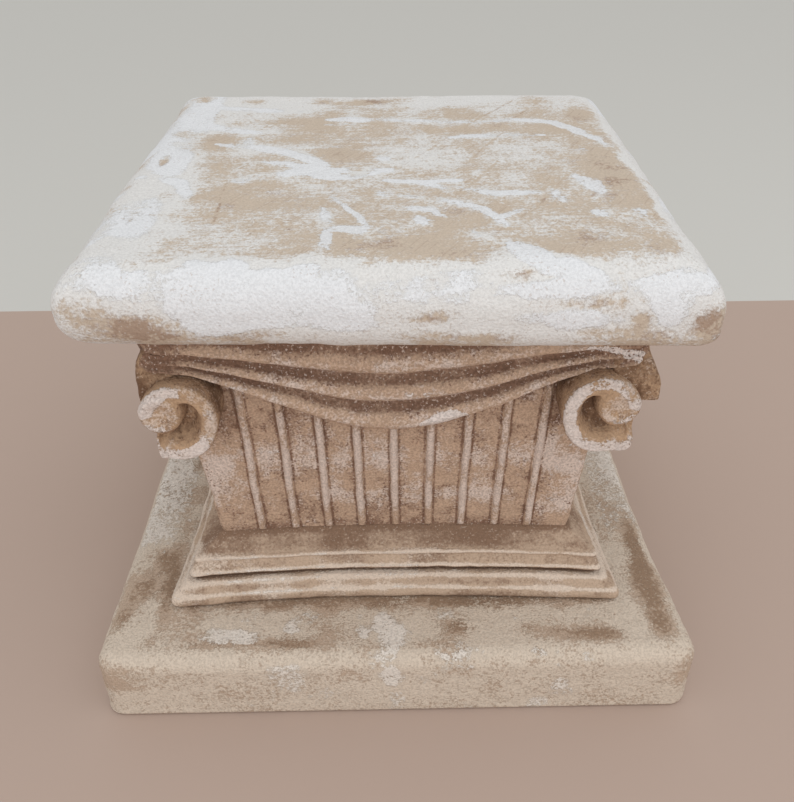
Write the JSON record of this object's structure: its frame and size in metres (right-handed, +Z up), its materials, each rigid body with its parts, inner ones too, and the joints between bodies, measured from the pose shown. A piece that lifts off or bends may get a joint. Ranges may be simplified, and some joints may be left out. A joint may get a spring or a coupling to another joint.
{
  "type": "column riser",
  "caption": "Low square column riser of cast plaster: round-edged top slab, draped swags and corner volutes over a ribbed flaring body on a stepped base and plinth; lifts what stands on it.",
  "frame": {"origin": "middle of the plinth's underside", "axes": "+Z up along the column's axis, -Y out of the front face"},
  "size_m": [0.342, 0.342, 0.27],
  "materials": {
    "whitewashed_plaster": "matte",
    "cream_plaster": "matte",
    "beige_plaster": "matte",
    "tan_plaster": "matte",
    "worn_plaster": "matte",
    "raw_plaster": "matte",
    "dowel_wood": "matte"
  },
  "bodies": {
    "root": {"base_fascia_course_back": "beige_plaster", "base_fascia_course_front": "beige_plaster", "base_fascia_course_left": "beige_plaster", "base_fascia_course_right": "beige_plaster", "base_nose_course_back": "beige_plaster", "base_nose_course_front": "beige_plaster", "base_nose_course_left": "beige_plaster", "base_nose_course_right": "beige_plaster", "body_core": "raw_plaster", "corner_block_back_left": "worn_plaster", "corner_block_back_right": "worn_plaster", "corner_block_front_left": "worn_plaster", "corner_block_front_right": "worn_plaster", "fluted_panel_back": "tan_plaster", "fluted_panel_front": "tan_plaster", "fluted_panel_left": "tan_plaster", "fluted_panel_right": "tan_plaster", "plinth_dowels": "dowel_wood", "plinth_slab": "cream_plaster", "slab_dowels": "dowel_wood", "swag_back": "tan_plaster", "swag_front": "tan_plaster", "swag_left": "tan_plaster", "swag_right": "tan_plaster", "top_slab": "whitewashed_plaster", "volute_back_left": "worn_plaster", "volute_back_right": "worn_plaster", "volute_front_left": "worn_plaster", "volute_front_right": "worn_plaster", "volute_pegs": "dowel_wood"}
  },
  "joints": []
}
